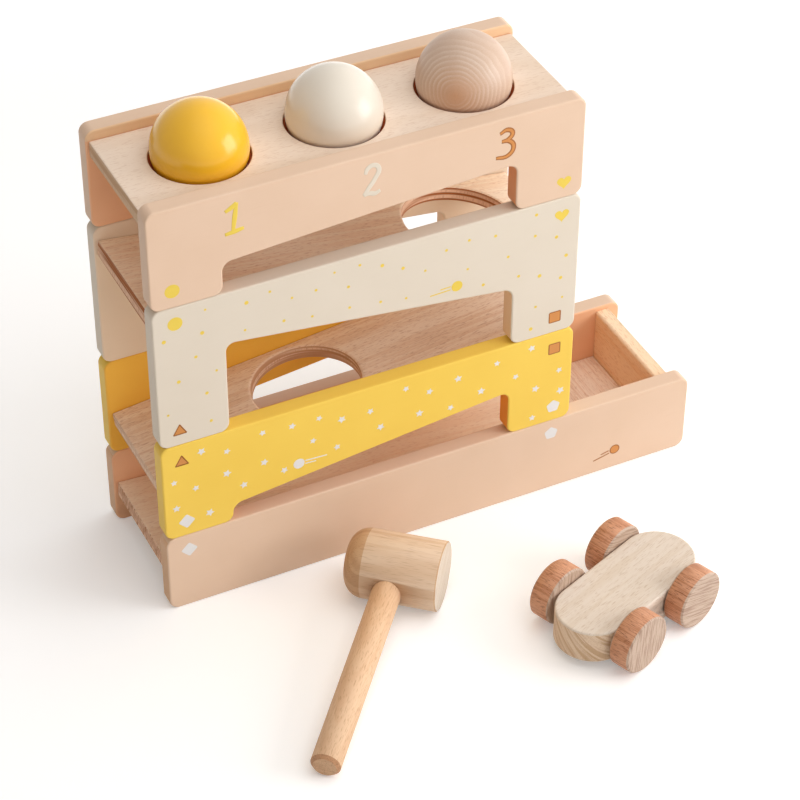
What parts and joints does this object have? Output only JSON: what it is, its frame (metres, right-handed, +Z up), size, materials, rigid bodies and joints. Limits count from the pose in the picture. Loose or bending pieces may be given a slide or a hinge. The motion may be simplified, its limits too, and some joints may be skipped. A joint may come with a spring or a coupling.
{
  "type": "wooden ball-pounding and car ramp toy",
  "caption": "Stacking wooden ramp tower: balls are pounded through a deck with a mallet and roll down sloping boards into a tray, with a small car that runs the same ramps.",
  "frame": {"origin": "middle of the whole set's footprint, on the floor", "axes": "+X along the tower from its open end to its tray, +Y from its printed front to its back, +Z up"},
  "size_m": [0.2866, 0.2198, 0.254],
  "materials": {
    "peach_paint": "matt paint",
    "cream_paint": "matt paint",
    "yellow_paint": "matt paint",
    "board_wood": "clear matt",
    "natural_wood": "clear matt",
    "dowel_wood": "bare",
    "mallet_wood": "clear matt",
    "wheel_wood": "clear matt",
    "ball_yellow_paint": "satin paint",
    "ball_white_paint": "satin paint",
    "ring_rubber": "matt"
  },
  "bodies": {
    "top_tier": {"ball_deck": "board_wood", "ball_deck_dowel_back_left": "dowel_wood", "ball_deck_dowel_back_right": "dowel_wood", "ball_deck_dowel_front_left": "dowel_wood", "ball_deck_dowel_front_right": "dowel_wood", "ball_ring_left": "ring_rubber", "ball_ring_middle": "ring_rubber", "ball_ring_right": "ring_rubber", "top_back_side": "peach_paint", "top_front_side": "peach_paint"},
    "base": {"base_back_side": "peach_paint", "base_front_side": "peach_paint", "base_peg_back_left": "dowel_wood", "base_peg_back_right": "dowel_wood", "base_peg_front_left": "dowel_wood", "base_peg_front_right": "dowel_wood", "base_ramp": "board_wood", "base_ramp_dowel_back": "dowel_wood", "base_ramp_dowel_front": "dowel_wood", "tray_end_board": "board_wood", "tray_end_dowel_back": "dowel_wood", "tray_end_dowel_front": "dowel_wood", "tray_floor": "board_wood", "tray_floor_dowel_back": "dowel_wood", "tray_floor_dowel_front": "dowel_wood"},
    "car": {"car_body": "natural_wood"},
    "car_front_wheels": {"car_front_axle": "dowel_wood", "car_front_left_wheel": "wheel_wood", "car_front_right_wheel": "wheel_wood"},
    "car_rear_wheels": {"car_rear_axle": "dowel_wood", "car_rear_left_wheel": "wheel_wood", "car_rear_right_wheel": "wheel_wood"},
    "lower_tier": {"lower_back_side": "yellow_paint", "lower_front_side": "yellow_paint", "lower_peg_back_left": "dowel_wood", "lower_peg_back_right": "dowel_wood", "lower_peg_front_left": "dowel_wood", "lower_peg_front_right": "dowel_wood", "lower_ramp": "board_wood", "lower_ramp_dowel_back_left": "dowel_wood", "lower_ramp_dowel_back_right": "dowel_wood", "lower_ramp_dowel_front_left": "dowel_wood", "lower_ramp_dowel_front_right": "dowel_wood"},
    "mallet": {"mallet_handle": "mallet_wood", "mallet_head": "mallet_wood"},
    "ball_natural": {"natural_ball": "natural_wood"},
    "upper_tier": {"upper_back_side": "cream_paint", "upper_front_side": "cream_paint", "upper_peg_back_left": "dowel_wood", "upper_peg_back_right": "dowel_wood", "upper_peg_front_left": "dowel_wood", "upper_peg_front_right": "dowel_wood", "upper_ramp": "board_wood", "upper_ramp_dowel_back_left": "dowel_wood", "upper_ramp_dowel_back_right": "dowel_wood", "upper_ramp_dowel_front_left": "dowel_wood", "upper_ramp_dowel_front_right": "dowel_wood"},
    "ball_white": {"white_ball": "ball_white_paint"},
    "ball_yellow": {"yellow_ball": "ball_yellow_paint"}
  },
  "joints": [
    {"name": "lower_tier_lift", "type": "slide", "parent": "base", "child": "lower_tier", "axis": [0, 0, 1], "range_m": [0, 0.015]},
    {"name": "upper_tier_lift", "type": "slide", "parent": "lower_tier", "child": "upper_tier", "axis": [0, 0, 1], "range_m": [0, 0.015]},
    {"name": "top_tier_lift", "type": "slide", "parent": "upper_tier", "child": "top_tier", "axis": [0, 0, 1], "range_m": [0, 0.015]},
    {"name": "yellow_ball_pound", "type": "slide", "parent": "top_tier", "child": "ball_yellow", "axis": [0, 0, 1], "range_m": [-0.0402, 0.03], "deforming": ["ball_ring_left"]},
    {"name": "white_ball_pound", "type": "slide", "parent": "top_tier", "child": "ball_white", "axis": [0, 0, 1], "range_m": [-0.0478, 0.03], "deforming": ["ball_ring_middle"]},
    {"name": "natural_ball_pound", "type": "slide", "parent": "top_tier", "child": "ball_natural", "axis": [0, 0, 1], "range_m": [-0.1188, 0.03], "deforming": ["ball_ring_right"]},
    {"name": "mallet_lift", "type": "slide", "parent": "base", "child": "mallet", "axis": [0, 0, 1], "range_m": [0, 0.12]},
    {"name": "car_roll", "type": "slide", "parent": "base", "child": "car", "axis": [0.9304, 0.3665, 0], "range_m": [-0.08, 0.12]},
    {"name": "front_axle_turn", "type": "hinge", "parent": "car", "child": "car_front_wheels", "pos_m": [0.03228, -0.07672, 0.015], "axis": [-0.3665, 0.9304, 0], "continuous": true},
    {"name": "rear_axle_turn", "type": "hinge", "parent": "car", "child": "car_rear_wheels", "pos_m": [0.07062, -0.06162, 0.015], "axis": [-0.3665, 0.9304, 0], "continuous": true}
  ],
  "couplings": [
    {"joint": "front_axle_turn", "follows": "car_roll", "rad_per_m": 66.667},
    {"joint": "rear_axle_turn", "follows": "car_roll", "rad_per_m": 66.667}
  ]
}
